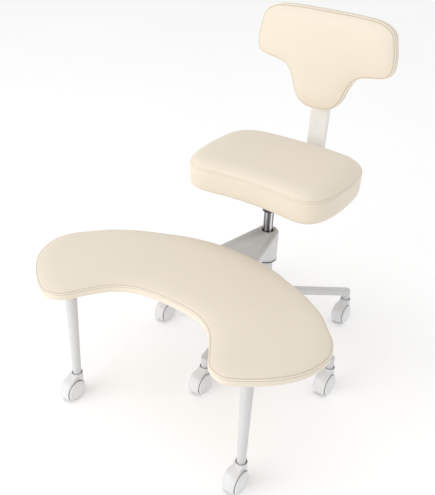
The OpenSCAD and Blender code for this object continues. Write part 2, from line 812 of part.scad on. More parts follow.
// Tapered tube from a caster up to its leg plate
module leg(i) {
    hollow_z = caster_h + leg_foot_h;
    color("Gainsboro") translate(concat(caster_points[i], 0)) difference() {
        translate([0, 0, caster_h]) cylinder(r1 = leg_outer_r(caster_h), r2 = leg_outer_r(leg_top_z),
            h = leg_top_z - caster_h);
        translate([0, 0, hollow_z]) cylinder(r1 = leg_inner_r(hollow_z), r2 = leg_inner_r(leg_top_z + over),
            h = leg_top_z + over - hollow_z);
        translate([0, 0, caster_h - over]) cylinder(r = stem_r + press_gap, h = stem_grip + 2 * over);
    }
}

module left_leg() {
    leg(arm_count);
}

module right_leg() {
    leg(arm_count + 1);
}

// A drum on a caster's axle, centred across the caster
module axle_drum(r, length) {
    translate([caster_trail, length / 2, wheel_r]) rotate([90, 0, 0]) cylinder(r = r, h = length);
}

module caster_hood(i) {
    front_x = caster_trail - hood_outer_r - over;
    tail_x = caster_trail + hood_outer_r + over;
    top_z = wheel_r + hood_outer_r + over;
    slope_x = shoulder_x - caster_trail;
    slope_z = collar_rim_z - wheel_r;
    meet_angle = atan2(slope_z, slope_x) - acos(hood_outer_r / norm([slope_x, slope_z]));
    meet_r = hood_outer_r - shoulder_bite;
    meet_x = caster_trail + meet_r * cos(meet_angle);
    meet_z = wheel_r + meet_r * sin(meet_angle);
    color("WhiteSmoke") caster_place(i) difference() {
        union() {
            intersection() {
                axle_drum(hood_outer_r, 2 * hood_half_w);
                translate([0, hood_half_w + over, 0]) rotate([90, 0, 0])
                    linear_extrude(2 * hood_half_w + 2 * over) polygon([
                        [front_x, hood_front_z], [tail_x, hood_tail_z], [tail_x, top_z], [front_x, top_z]]);
            }
            axle_drum(axle_boss_r, hood_web_t);
            translate([0, 0, collar_foot_z]) cylinder(r = collar_r, h = collar_rim_z - collar_foot_z);
            translate([0, shoulder_half_w, 0]) rotate([90, 0, 0])
                linear_extrude(2 * shoulder_half_w) polygon([
                    [0, collar_foot_z], [caster_trail, collar_foot_z], [meet_x, meet_z],
                    [shoulder_x, collar_rim_z], [0, collar_rim_z]]);
        }
        for (side = [-1, 1]) translate([0, side * (hood_web_t / 2 + wheel_d / 2), 0])
            axle_drum(hood_inner_r, wheel_d);
        translate([0, 0, collar_floor_z]) cylinder(r = collar_r - collar_wall, h = collar_rim_h * 2);
        translate([0, 0, stem_end_z]) cylinder(r = stem_r + running_gap, h = caster_h);
        axle_drum(axle_r + press_gap, hood_web_t + 2 * over);
    }
}

module caster_axle(i) {
    color("Silver") caster_place(i) axle_drum(axle_r, 2 * axle_half);
}

module caster_wheel(i, side) {
    inner = axle_r + running_gap;
    dish = wheel_w - wheel_dish;
    color("WhiteSmoke") caster_place(i)
        translate([caster_trail, side * (hood_web_t / 2 + wheel_gap), wheel_r]) rotate([-90 * side, 0, 0])
            rotate_extrude() polygon([
                [inner, 0], [wheel_r - wheel_edge, 0], [wheel_r, wheel_edge],
                [wheel_r, wheel_w - wheel_edge], [wheel_r - wheel_edge, wheel_w],
                [wheel_disc_share * wheel_r, dish], [0, dish],
                [0, dish - wheel_cap], [inner, dish - wheel_cap]]);
}

star_base();
column_tube();
guide_bush();
base_stems();
piston_rod();
thrust_bearing();
rod_clip();
gas_cylinder();
release_pin();
seat_mechanism();
lift_lever();
lever_grip();
seat_board();
seat_cushion();
mechanism_screws();
back_bar();
bar_screws();
back_board();
back_cushion();
back_screws();
swing_arm();
upper_swing_bush();
lower_swing_bush();
swing_washer();
footrest_board();
footrest_cushion();
footrest_screws();
leg_plates();
leg_screws();
left_leg();
right_leg();
leg_stems();
for (i = [0 : caster_count - 1]) {
    caster_hood(i);
    caster_axle(i);
    caster_wheel(i, -1);
    caster_wheel(i, 1);
}
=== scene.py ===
import json
import math
from collections import namedtuple

import bmesh
import bpy
import numpy as np
from mathutils import Matrix, Vector


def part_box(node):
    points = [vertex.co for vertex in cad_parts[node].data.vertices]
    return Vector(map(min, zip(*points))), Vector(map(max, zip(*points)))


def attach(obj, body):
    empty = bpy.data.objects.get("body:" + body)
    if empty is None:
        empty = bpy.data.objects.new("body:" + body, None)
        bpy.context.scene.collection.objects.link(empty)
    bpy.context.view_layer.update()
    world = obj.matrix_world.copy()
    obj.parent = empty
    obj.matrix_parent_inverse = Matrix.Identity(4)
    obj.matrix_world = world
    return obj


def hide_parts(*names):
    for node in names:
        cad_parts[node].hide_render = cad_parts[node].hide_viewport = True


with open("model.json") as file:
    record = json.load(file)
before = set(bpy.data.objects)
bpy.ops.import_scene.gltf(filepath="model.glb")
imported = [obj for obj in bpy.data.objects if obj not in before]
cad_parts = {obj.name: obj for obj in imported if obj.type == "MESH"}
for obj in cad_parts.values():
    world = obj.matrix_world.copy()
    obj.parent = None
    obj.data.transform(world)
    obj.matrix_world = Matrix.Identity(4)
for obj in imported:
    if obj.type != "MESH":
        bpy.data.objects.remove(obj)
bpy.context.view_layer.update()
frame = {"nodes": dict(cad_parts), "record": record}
nodes = frame["nodes"]
MM = 0.001

# Camera at the photograph's angle

CAMERA_AT = Vector((0.8333, -1.5500, 1.3777))
FOCAL_PX = 713.3
FRAME_H_PX = 495
SENSOR_W = 36
FARTHEST = 50
PITCH = math.radians(31.48)
HEADING = math.radians(32.82)
ROLL = math.radians(-2.566)


def add_camera():
    ahead = Vector((
        -math.sin(HEADING) * math.cos(PITCH), math.cos(HEADING) * math.cos(PITCH), -math.sin(PITCH)))
    level = Vector((math.cos(HEADING), math.sin(HEADING), 0))
    above = level.cross(ahead)
    right = math.cos(ROLL) * level - math.sin(ROLL) * above
    up = math.sin(ROLL) * level + math.cos(ROLL) * above
    data = bpy.data.cameras.new("camera")
    data.sensor_width = SENSOR_W
    data.lens = FOCAL_PX * SENSOR_W / FRAME_H_PX
    data.clip_end = FARTHEST
    camera = bpy.data.objects.new("camera", data)
    turn = Matrix((right, up, -ahead)).transposed().to_4x4()
    camera.matrix_world = Matrix.Translation(CAMERA_AT) @ turn
    bpy.context.scene.collection.objects.link(camera)
    bpy.context.scene.camera = camera


add_camera()

# Materials: texture scales are per metre, and the depth of a bump is in metres

# Sockets of a colour mix node
MIX_FACTOR, MIX_FIRST, MIX_SECOND, MIX_RESULT = 0, 6, 7, 2


class Finish:
    """A node material whose colour, gloss and relief vary over the surface."""

    def __init__(self, name, metallic=0.0, specular=0.5, **more):
        self.mat = bpy.data.materials.new(name)
        self.mat.use_nodes = True
        self.tree = self.mat.node_tree
        self.shader = self.tree.nodes["Principled BSDF"]
        self.place = self.add("ShaderNodeTexCoord").outputs["Object"]
        self.shader.inputs["Metallic"].default_value = metallic
        self.shader.inputs["Specular IOR Level"].default_value = specular
        for socket, value in more.items():
            self.shader.inputs[socket.replace("_", " ")].default_value = value
        self.relief = None

    def add(self, kind, **props):
        node = self.tree.nodes.new(kind)
        for key, value in props.items():
            setattr(node, key, value)
        return node

    def link(self, a, b):
        self.tree.links.new(a, b)

    def stretched(self, scale):
        node = self.add("ShaderNodeMapping")
        node.inputs["Scale"].default_value = scale
        self.link(self.place, node.inputs["Vector"])
        return node.outputs["Vector"]

    def noise(self, scale, detail=2.0, stretch=None):
        node = self.add("ShaderNodeTexNoise")
        node.inputs["Scale"].default_value = scale
        node.inputs["Detail"].default_value = detail
        self.link(self.stretched(stretch) if stretch else self.place, node.inputs["Vector"])
        return node.outputs["Fac"]

    def cells(self, scale):
        node = self.add("ShaderNodeTexVoronoi", feature="DISTANCE_TO_EDGE")
        node.inputs["Scale"].default_value = scale
        self.link(self.place, node.inputs["Vector"])
        return node.outputs["Distance"]

    def layers(self, scale, distortion):
        node = self.add("ShaderNodeTexWave", wave_type="BANDS", bands_direction="Z")
        node.inputs["Scale"].default_value = scale
        node.inputs["Distortion"].default_value = distortion
        self.link(self.place, node.inputs["Vector"])
        return node.outputs["Fac"]

    def painted_reflection_stripes(self, number, phase):
        """A wave round the object's upright axis, for painted reflection stripes."""
        around = self.add("ShaderNodeTexGradient", gradient_type="RADIAL")
        self.link(self.place, around.inputs["Vector"])
        turn = self.maths("MULTIPLY_ADD", around.outputs["Fac"], 2 * math.pi * number, phase)
        return self.maths("SINE", turn)

    def maths(self, operation, source, *values):
        node = self.add("ShaderNodeMath", operation=operation)
        self.link(source, node.inputs[0])
        for place, value in enumerate(values, 1):
            node.inputs[place].default_value = value
        return node.outputs[0]

    def ranged(self, source, low, high, start=0.3, stop=0.7):
        node = self.add("ShaderNodeMapRange")
        for socket, value in zip(("From Min", "From Max", "To Min", "To Max"), (start, stop, low, high)):
            node.inputs[socket].default_value = value
        self.link(source, node.inputs["Value"])
        return node.outputs["Result"]

    def blend(self, factor, first, second):
        node = self.add("ShaderNodeMix", data_type="RGBA")
        self.link(factor, node.inputs[MIX_FACTOR])
        for value, socket in ((first, node.inputs[MIX_FIRST]), (second, node.inputs[MIX_SECOND])):
            if isinstance(value, tuple):
                socket.default_value = (*value, 1)
            else:
                self.link(value, socket)
        return node.outputs[MIX_RESULT]

    def colour(self, output):
        self.link(output, self.shader.inputs["Base Color"])

    def gloss(self, output):
        self.link(output, self.shader.inputs["Roughness"])

    def bump(self, height, strength, depth):
        node = self.add("ShaderNodeBump")
        node.inputs["Strength"].default_value = strength
        node.inputs["Distance"].default_value = depth
        self.link(height, node.inputs["Height"])
        if self.relief is not None:
            self.link(self.relief, node.inputs["Normal"])
        self.relief = node.outputs["Normal"]
        self.link(self.relief, self.shader.inputs["Normal"])


def shaded(colour, share):
    return tuple(min(1.0, c * share) for c in colour)


# Shares of the leather's colour for a painted highlight on the seam's welt and painted shade in its grooves
WELT_PAINTED_HIGHLIGHT = 1.12
GROOVE_PAINTED_SHADE = 0.62


def leatherette(name, colour):
    """Pebbled leatherette with a painted highlight on the welt of its seam and painted shade in the grooves.
    """
    f = Finish(name, specular=0.4, Sheen_Weight=0.08, Sheen_Roughness=0.5)
    cloudy = f.blend(f.ranged(f.noise(5, 3), 0, 1), shaded(colour, 0.975), shaded(colour, 1.01))
    mottled = f.blend(f.ranged(f.noise(420, 2), 0, 0.5), cloudy, shaded(colour, 0.96))
    # The seam attribute masks a painted highlight on the welt and painted shade in the grooves
    seam = f.add("ShaderNodeAttribute", attribute_name="seam").outputs["Fac"]
    with_painted_highlight = f.blend(f.ranged(seam, 0.9, 0, -0.8, 0), mottled, shaded(colour, WELT_PAINTED_HIGHLIGHT))
    f.colour(f.blend(f.ranged(seam, 0, 1, 0.1, 1), with_painted_highlight, shaded(colour, GROOVE_PAINTED_SHADE)))
    f.gloss(f.ranged(f.noise(60, 4), 0.42, 0.56))
    f.bump(f.noise(28, 3), 0.12, 0.002)
    f.bump(f.cells(950), 0.16, 0.0003)
    f.bump(f.noise(2600, 2), 0.08, 0.0001)
    return f.mat


def powder_coat(name, colour, gloss=(0.32, 0.46)):
    """Paint with a fine grain and rubbed patches."""
    f = Finish(name, Coat_Weight=0.12, Coat_Roughness=0.25)
    even = f.blend(f.ranged(f.noise(9, 3), 0, 1), shaded(colour, 0.97), shaded(colour, 1.015))
    rub = f.ranged(f.noise(70, 6, (1, 1, 0.2)), 0, 0.35, 0.62, 0.8)
    f.colour(f.blend(rub, even, shaded(colour, 0.9)))
    f.gloss(f.ranged(f.noise(45, 4), *gloss))
    f.bump(f.noise(900, 2), 0.1, 0.0004)
    f.bump(f.noise(2800, 1), 0.06, 0.0001)
    return f.mat


def moulded_plastic(name, colour, gloss, worn):
    """Smooth plastic with faint flow marks and worn specks of another colour."""
    f = Finish(name)
    flow = f.blend(f.ranged(f.noise(30, 3), 0, 1), shaded(colour, 0.96), shaded(colour, 1.02))
    marks = f.ranged(f.noise(260, 6, (1, 1, 0.4)), 0, 0.3, 0.64, 0.86)
    f.colour(f.blend(marks, flow, worn))
    f.gloss(f.ranged(f.noise(120, 4), *gloss))
    f.bump(f.noise(1800, 2), 0.12, 0.0002)
    return f.mat


def polished_metal(name, colour, gloss, streak, painted_reflection_stripes=None):
    """Polished metal, for a round bar with painted reflection stripes along it: their number, phase and share
    of painted shade.
    """
    f = Finish(name, metallic=1.0)
    shown = f.blend(f.ranged(f.noise(25, 2, streak), 0, 1, 0.4, 0.6), shaded(colour, 0.94), colour)
    # Painted reflection: dark stripes round the bar, shaded to the given share of the metal's colour
    if painted_reflection_stripes:
        number, phase, low = painted_reflection_stripes
        shown = f.blend(f.ranged(f.painted_reflection_stripes(number, phase), 0, 1, 0.1, 0.8), shaded(colour, low), shown)
    f.colour(shown)
    f.gloss(f.ranged(f.noise(30, 5, streak), *gloss))
    f.bump(f.noise(900, 2, streak), 0.03, 0.0001)
    return f.mat


def plywood(name, colour):
    """Wood with veins along it and darker layers across its thickness."""
    f = Finish(name, specular=0.3)
    veins = f.blend(f.ranged(f.noise(14, 8, (14, 1, 14)), 0, 1), shaded(colour, 0.72), colour)
    f.colour(f.blend(f.ranged(f.layers(110, 0.4), 0, 0.3), veins, shaded(colour, 0.6)))
    f.gloss(f.ranged(f.noise(80, 4), 0.55, 0.75))
    f.bump(f.noise(60, 8, (20, 1, 20)), 0.2, 0.0004)
    return f.mat


def thread(name, colour):
    """Sewing thread with a fine twist."""
    f = Finish(name, specular=0.2)
    f.colour(f.blend(f.ranged(f.noise(3000, 2), 0, 1), shaded(colour, 0.82), colour))
    f.gloss(f.ranged(f.noise(900, 2), 0.6, 0.8))
    f.bump(f.noise(3600, 2), 0.3, 0.0002)
    return f.mat


CREAM = (0.815, 0.730, 0.605)

# Painted reflection on the chrome cylinder: dark stripes along it, placed round it with the camera's heading
# as the photograph shows them
CHROME_REFLECTION_STRIPES = 6
CHROME_REFLECTION_TURN = HEADING - math.radians(60)
CHROME_REFLECTION_PHASE = math.radians(90) - CHROME_REFLECTION_STRIPES * CHROME_REFLECTION_TURN
CHROME_REFLECTION_SHADE = 0.2

# How a metal's streaks are stretched: not at all, or drawn out along the upright axis
EVEN = (1, 1, 1)
DRAWN = (1, 1, 0.03)

finishes = {
    "upholstery": leatherette("cream_leatherette", CREAM),
    "base_paint": powder_coat("base_powder_coat", (0.65, 0.65, 0.65)),
    "column_paint": powder_coat("column_powder_coat", (0.68, 0.685, 0.68)),
    "bar_paint": powder_coat("bar_powder_coat", (0.83, 0.815, 0.785)),
    # The chrome gets dark stripes of painted reflection
    "chrome": polished_metal(
        "chrome", (0.80, 0.80, 0.82), (0.04, 0.10), DRAWN, (CHROME_REFLECTION_STRIPES, CHROME_REFLECTION_PHASE, CHROME_REFLECTION_SHADE)),
    "steel": polished_metal("zinc_steel", (0.58, 0.58, 0.60), (0.25, 0.42), EVEN),
    "bush_plastic": moulded_plastic("bush_plastic", (0.045, 0.045, 0.05), (0.4, 0.55), (0.09, 0.09, 0.09)),
    "mechanism_paint": powder_coat("mechanism_powder_coat", (0.04, 0.04, 0.042), (0.4, 0.55)),
    "plywood": plywood("beech_plywood", (0.56, 0.41, 0.25)),
    "caster_plastic": moulded_plastic("hood_plastic", (0.76, 0.76, 0.765), (0.28, 0.42), (0.68, 0.675, 0.67)),
    "wheel_plastic": moulded_plastic("wheel_plastic", (0.79, 0.79, 0.795), (0.24, 0.4), (0.71, 0.705, 0.70)),
}
sewing = thread("cream_thread", shaded(CREAM, 1.04))
# Dark tread plastic: partly the tread's own dark colour, partly painted shade for the gap between hood and
# disc
dark_tread_and_gap_shade = moulded_plastic("dark_tread_and_gap_shade", (0.12, 0.12, 0.123), (0.45, 0.6), (0.17, 0.168, 0.165))

slot_of = {s["node"]: s["material_slot"] for s in frame["record"]["subparts"]}
for name, obj in nodes.items():
    for place in obj.material_slots:
        place.material = finishes[slot_of[name]]


def mesh_object(name, verts, faces, material):
    mesh = bpy.data.meshes.new(name)
    mesh.from_pydata([tuple(v) for v in verts], [], faces)
    bm = bmesh.new()
    bm.from_mesh(mesh)
    bmesh.ops.recalc_face_normals(bm, faces=bm.faces)
    bm.to_mesh(mesh)
    bm.free()
    mesh.materials.append(material)
    for polygon in mesh.polygons:
        polygon.use_smooth = True
    obj = bpy.data.objects.new(name, mesh)
    bpy.context.scene.collection.objects.link(obj)
    return obj


def ring_faces(base, rings, sides, closed=False):
    """Faces between rings of points that follow one another, and from the last to the first if closed."""
    faces = []
    for k in range(rings if closed else rings - 1):
        low, high = base + k * sides, base + (k + 1) % rings * sides
        for i in range(sides):
            j = (i + 1) % sides
            faces.append((low + i, low + j, high + j, high + i))
    return faces


# Outlines of the three pads: share of the half width, then the shares of the length of both edges there

SEAT_SHARES = [
    (0, 0.04, 1), (0.2, 0.034, 0.999), (0.4, 0.02, 0.994), (0.6, 0.001, 0.978), (0.72, 0.005, 0.955),
    (0.82, 0.03, 0.915), (0.9, 0.09, 0.86), (0.95, 0.165, 0.79), (0.985, 0.29, 0.68), (1, 0.48, 0.48)]
BACK_SHARES = [
    (0, 1, 0), (0.12, 0.995, 0), (0.2, 0.978, 0), (0.28, 0.939, 0), (0.34, 0.877, 0), (0.378, 0.812, 0.001),
    (0.411, 0.74, 0.002), (0.46, 0.668, 0.003), (0.517, 0.617, 0.005), (0.604, 0.585, 0.01),
    (0.725, 0.567, 0.022), (0.845, 0.552, 0.058), (0.928, 0.532, 0.115), (0.97, 0.5, 0.23),
    (0.992, 0.462, 0.32), (1, 0.4, 0.4)]
FOOT_SHARES = [
    (0, 0.653, 0), (0.12, 0.657, 0.005), (0.24, 0.68, 0.023), (0.353, 0.745, 0.053), (0.444, 0.857, 0.088),
    (0.52, 0.965, 0.118), (0.617, 1, 0.16), (0.7, 0.97, 0.206), (0.8, 0.902, 0.273), (0.89, 0.82, 0.365),
    (0.95, 0.741, 0.43), (0.985, 0.66, 0.495), (1, 0.572, 0.572)]
CURVE_STEPS = 16


def outline(pad):
    """The closed outline of a pad: one edge from its left tip to its right tip, and the other back."""
    edges = []
    for k in (1, 2):
        right = [(share[0] * pad["half_w"], share[k] * pad["length"]) for share in pad["shares"]]
        edges.append([(-x, y) for x, y in right[:0:-1]] + right)
    first, second = edges
    ring = np.array(first + second[-2:0:-1]) + (0, pad["shift"])
    n = len(ring)
    dense = []
    for i in range(n):
        a, b, c, d = (ring[(i + k) % n] for k in (-1, 0, 1, 2))
        square, cube = 2 * a - 5 * b + 4 * c - d, 3 * b - a - 3 * c + d
        for step in range(CURVE_STEPS):
            t = step / CURVE_STEPS
            dense.append((2 * b + (c - a) * t + square * t**2 + cube * t**3) / 2)
    dense = np.array(dense)
    half = len(dense) // 2
    near = dense[:half + 1]
    far = np.vstack([dense[:1], dense[:half - 1:-1]])
    stride = sum(np.linalg.norm(np.diff(edge, axis=0), axis=1) for edge in (near, far)) / 2
    travelled = np.concatenate([[0], np.cumsum(stride)])
    at = np.linspace(0, travelled[-1], pad["count"] + 1)
    near, far = (np.column_stack([np.interp(at, travelled, e[:, k]) for k in (0, 1)]) for e in (near, far))
    return np.vstack([near, far[-2:0:-1]])


def inward(loop):
    ahead = np.roll(loop, -1, axis=0) - np.roll(loop, 1, axis=0)
    side = np.column_stack([-ahead[:, 1], ahead[:, 0]])
    side /= np.linalg.norm(side, axis=1)[:, None]
    return side


def spine_of(loop, share):
    """For each point of the outline, one half-way between both edges and drawn in to a share of the width."""
    n = len(loop)
    halfway = (loop + loop[(n - np.arange(n)) % n]) / 2
    return halfway * (share, 1)


def reach(points, loop):
    """How far each point is from the outline."""
    a, b = loop, np.roll(loop, -1, axis=0)
    along = b - a
    rel = points[:, None, :] - a[None, :, :]
    t = np.clip((rel * along).sum(axis=2) / (along**2).sum(axis=1), 0, 1)
    gap = rel - t[:, :, None] * along
    return np.sqrt((gap**2).sum(axis=2).min(axis=1))


# Upholstered pads: a pocket for the board, a rolled lower edge, a band, a sewn seam and a crown

# Room over the board, width and lift of the lip round it, and the rings of the rolled edge and of the band
POCKET_GAP = 0.4
LIP_W = 7.6
LIP_LIFT = 1.0
ROLL_STEPS = 4
ROLL_SEWN = 2
BAND_STEP = 6.0

# Rings just below the seam, and how far in the rings end, clear of the one before, on a curve in fine steps
BELOW_SEAM = (2.4, 1.6, 0.8)
EDGE_IN = 8.0
EDGE_GAP = 1.0
RIM_STEPS = 360

# The seam's welt between two grooves, the groove depth that takes the full painted shade, and the rings along
# its curve
WELT_W = 5.0
WELT_SHARE = 0.9
GROOVE_W = 1.4
GROOVE_FULL = 1.2
UPPER_GROOVE_SHARE = 0.8
STITCH_ARC = 6.8
SEAM_ARCS = (0.8, 1.6, 2.5, 3.4, 4.2, WELT_W, 5.8, STITCH_ARC, 8.4, 10.4, 12.8)

# Rings of the crown, by how far they are on the way to its spine
SPINE_FRACTIONS = (0.04, 0.09, 0.15, 0.22, 0.3, 0.4, 0.5, 0.6, 0.7, 0.8, 0.9)

# A ring of a pad: how far in from the outline, how high, how deep in the seam, and whether it is sewn down
Ring = namedtuple("Ring", "inset height groove sewn")


def groove_depth(arc, deep):
    """Depth of the sewn seam: a groove on each side of a raised welt."""

    def hump(centre):
        return math.exp(-(((arc - centre) / GROOVE_W) ** 2))

    return deep * (hump(0) + UPPER_GROOVE_SHARE * hump(WELT_W) - WELT_SHARE * hump(WELT_W / 2))


def side_rings(pad):
    """Rings from the top of the pocket, out round the rolled lower edge and up the band to its seam."""
    pocket, band, deep = pad["board"] + POCKET_GAP, pad["band"], pad["groove"]
    rings = [Ring(LIP_W, height, 0, True) for height in (pocket, (pocket + LIP_LIFT) / 2, LIP_LIFT)]
    roll_w, roll_h = pad["roll"]
    for k in range(ROLL_STEPS + 1):
        turn = math.radians(90 * k / ROLL_STEPS)
        height = LIP_LIFT + roll_h * (1 - math.cos(turn))
        rings.append(Ring(roll_w * (1 - math.sin(turn)), height, 0, k < ROLL_SEWN))
    roll_top = LIP_LIFT + roll_h
    lowest, lower, low = BELOW_SEAM
    rise = band - lowest - roll_top
    count = max(2, round(rise / BAND_STEP))
    rings += [Ring(0, roll_top + rise * k / count, 0, False) for k in range(1, count + 1)]
    rings += [Ring(0, band - lower, 0, False), Ring(0, band - low, groove_depth(low, deep), False)]
    return rings + [Ring(0, band, groove_depth(0, deep), True)]


def seam_rings(pad):
    """Rings over the seam, from the top of the band to the start of the crown, spaced along its rim."""
    turns = [math.radians(90 * k / RIM_STEPS) for k in range(RIM_STEPS + 1)]
    rim, high = pad["rim"], pad["crown"] * pad["rim_share"]
    curve = [(rim * (1 - math.cos(a)), high * math.sin(a)) for a in turns]
    arcs = [0]
    for a, b in zip(curve, curve[1:]):
        arcs.append(arcs[-1] + math.dist(a, b))
    last = next(arc for arc, (d, _) in zip(arcs, curve) if d >= EDGE_IN)
    rings = []
    for arc in [a for a in SEAM_ARCS if a < last - EDGE_GAP] + [last]:
        d, z = (float(np.interp(arc, arcs, [c[k] for c in curve])) for k in (0, 1))
        rings.append(Ring(d, pad["band"] + z, groove_depth(arc, pad["groove"]), False))
    return rings


def slope_out(rings, k):
    """Outward normal of the profile at ring k, in inset and height."""
    before, after = rings[max(k - 1, 0)], rings[min(k + 1, len(rings) - 1)]
    step = (after.inset - before.inset, after.height - before.height)
    size = math.hypot(*step) or 1
    return -step[1] / size, step[0] / size


def crown_height(pad, flat, loop, fraction):
    """Height of the crown over points of the plan that are this fraction of the way to the spine."""
    share = np.clip(reach(flat, loop) / pad["rim"], 0, 1)
    rim = pad["band"] + pad["crown"] * pad["rim_share"] * np.sqrt(1 - (1 - share) ** 2)
    return rim + pad["crown"] * (1 - pad["rim_share"]) * (1 - (1 - fraction) ** 2)


def seam_relief(loop, rings, levels):
    """How far the seam presses each point of the rings into the cover."""
    side = inward(loop)
    relief = np.zeros((levels, len(loop), 3))
    for k, ring in enumerate(rings):
        out_d, out_z = slope_out(rings, k)
        relief[k] = ring.groove * np.column_stack([side * out_d, np.full(len(loop), out_z)])
    return relief


def pad_grid(pad, loop, rings):
    """Points of all rings in the pad's own frame: the given ones, then those that close in on the spine."""
    side = inward(loop)
    grid = [np.column_stack([loop + side * ring.inset, np.full(len(loop), ring.height)]) for ring in rings]
    start, spine = loop + side * EDGE_IN, spine_of(loop, pad["spine"])
    for fraction in SPINE_FRACTIONS:
        flat = start + (spine - start) * fraction
        grid.append(np.column_stack([flat, crown_height(pad, flat, loop, fraction)]))
    return np.array(grid)


def pad_mesh(pad, loop, grid):
    """A pad's closed mesh: its rings, then the spines of its pocket and of its crown."""
    levels, n = grid.shape[:2]
    spine = spine_of(loop, pad["spine"])[:n // 2 + 1]
    pocket = np.full(len(spine), pad["board"] + POCKET_GAP)
    high = crown_height(pad, spine, loop, 1)
    verts = np.vstack([grid.reshape(-1, 3), np.column_stack([spine, pocket]), np.column_stack([spine, high])])
    faces = ring_faces(0, levels, n)
    for base, spine_base in ((0, levels * n), ((levels - 1) * n, levels * n + len(spine))):
        for i in range(n):
            j = (i + 1) % n
            faces.append((base + i, base + j, spine_base + min(j, n - j), spine_base + min(i, n - i)))
    return verts, faces


CLOTH = {
    "quality": 6, "mass": 0.3, "tension_stiffness": 25, "compression_stiffness": 25, "shear_stiffness": 12,
    "bending_stiffness": 4, "use_pressure": True, "uniform_pressure_force": 4, "vertex_group_mass": "sewn"}
CLOTH_FRAMES = 20
SWELL_PASSES = 30


def swollen(name, verts, faces, pins, cap):
    """How the foam blows the pad's cover out, smooth and taut, with its sewn rings held."""
    obj = mesh_object(name + "_blown", verts * MM, faces, finishes["upholstery"])
    group = obj.vertex_groups.new(name="sewn")
    group.add(pins, 1.0, "REPLACE")
    mod = obj.modifiers.new("Cloth", "CLOTH")
    for key, value in CLOTH.items():
        setattr(mod.settings, key, value)
    mod.settings.effector_weights.gravity = 0
    mod.point_cache.frame_start = 1
    mod.point_cache.frame_end = CLOTH_FRAMES
    scene = bpy.context.scene
    for number in range(1, CLOTH_FRAMES + 1):
        scene.frame_set(number)
    posed = obj.evaluated_get(bpy.context.evaluated_depsgraph_get()).to_mesh()
    moved = np.array([v.co for v in posed.vertices]) / MM
    out = np.array([v.normal for v in obj.data.vertices])
    first, second = np.array([e.vertices[:] for e in obj.data.edges]).T
    scene.frame_set(1)
    bpy.data.objects.remove(obj)
    count = len(verts)
    free = np.ones(count)
    free[pins] = 0
    neighbours = np.bincount(first, minlength=count) + np.bincount(second, minlength=count)
    swell = np.clip(((moved - verts) * out).sum(axis=1), 0, cap)
    for _ in range(SWELL_PASSES):
        total = np.bincount(first, swell[second], count) + np.bincount(second, swell[first], count)
        swell = free * total / neighbours
    return out * swell[:, None]


def upholster(name, node, body, pad, place):
    """A pad's cover with its seam, in the place of its CAD cushion."""
    loop = outline(pad)
    below_seam = side_rings(pad)
    rings = below_seam + seam_rings(pad)
    grid = pad_grid(pad, loop, rings)
    levels, n = grid.shape[:2]
    verts, faces = pad_mesh(pad, loop, grid)
    pins = [k * n + i for k, ring in enumerate(rings) if ring.sewn for i in range(n)]
    pins += range(levels * n, levels * n + n // 2 + 1)
    verts = verts + swollen(name, verts, faces, pins, pad["cap"])
    sunk = verts[:levels * n].reshape(levels, n, 3) - seam_relief(loop, rings, levels)
    verts[:levels * n] = sunk.reshape(-1, 3)
    turn = np.array(place.to_3x3()).T
    shift = np.array(place.translation)
    obj = mesh_object(name, (verts @ turn + shift) * MM, faces, finishes["upholstery"])
    # The groove depth, kept as the mask for painted shade in the grooves and a painted highlight on the welt
    seam = obj.data.attributes.new("seam", "FLOAT", "POINT")
    depth = np.zeros(len(verts))
    for k, ring in enumerate(rings):
        depth[k * n:(k + 1) * n] = ring.groove / GROOVE_FULL
    seam.data.foreach_set("value", depth)
    smooth = obj.modifiers.new("smooth", "SUBSURF")
    smooth.levels = smooth.render_levels = 1
    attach(obj, body)
    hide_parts(node)
    row = len(below_seam) + SEAM_ARCS.index(STITCH_ARC)
    path = sunk[row] @ turn + shift
    up = np.cross(np.roll(path, -1, axis=0) - np.roll(path, 1, axis=0), (sunk[row + 1] - sunk[row]) @ turn)
    stitches(name + "_stitching", path, up / np.linalg.norm(up, axis=1)[:, None], obj, body)


# Stitches: their spacing, length and radius, the mesh of each, how it tapers, rises and sinks in the cover
STITCH_PITCH = 6.0
STITCH_L = 4.4
STITCH_R = 0.42
STITCH_RINGS = 5
STITCH_SIDES = 6
STITCH_TIP_SHARE = 0.12
STITCH_RISE = 0.18
STITCH_SINK = 0.1
LOOK_AHEAD = 0.5


def stitches(name, path, up, cushion, body):
    """A row of sewn stitches along a closed path on the cover."""
    step = np.linalg.norm(np.roll(path, -1, axis=0) - path, axis=1)
    travelled = np.concatenate([[0], np.cumsum(step)])
    closed, lifted = np.vstack([path, path[:1]]), np.vstack([up, up[:1]])

    def along(row, distance):
        d = distance % travelled[-1]
        return np.array([np.interp(d, travelled, row[:, k]) for k in range(3)])

    count = round(travelled[-1] / STITCH_PITCH)
    pitch = travelled[-1] / count
    verts, faces = [], []
    for s in range(count):
        base = len(verts)
        for k in range(STITCH_RINGS):
            share = k / (STITCH_RINGS - 1)
            distance = s * pitch + STITCH_L * share
            centre, normal = along(closed, distance), along(lifted, distance)
            ahead = along(closed, distance + LOOK_AHEAD) - centre
            ahead /= np.linalg.norm(ahead)
            across = np.cross(ahead, normal)
            bulge = math.sin(math.pi * (STITCH_TIP_SHARE + (1 - 2 * STITCH_TIP_SHARE) * share))
            r, rise = STITCH_R * bulge, STITCH_RISE * bulge - STITCH_SINK
            for corner in range(STITCH_SIDES):
                turn = math.radians(360 * corner / STITCH_SIDES)
                verts.append(centre + normal * (rise + r * math.sin(turn)) + across * r * math.cos(turn))
        faces += ring_faces(base, STITCH_RINGS, STITCH_SIDES)
        for start in (base, len(verts) - STITCH_SIDES):
            faces.append(tuple(range(start, start + STITCH_SIDES)))
    obj = mesh_object(name, np.array(verts) * MM, faces, sewing)
    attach(obj, body)
    obj.parent = cushion


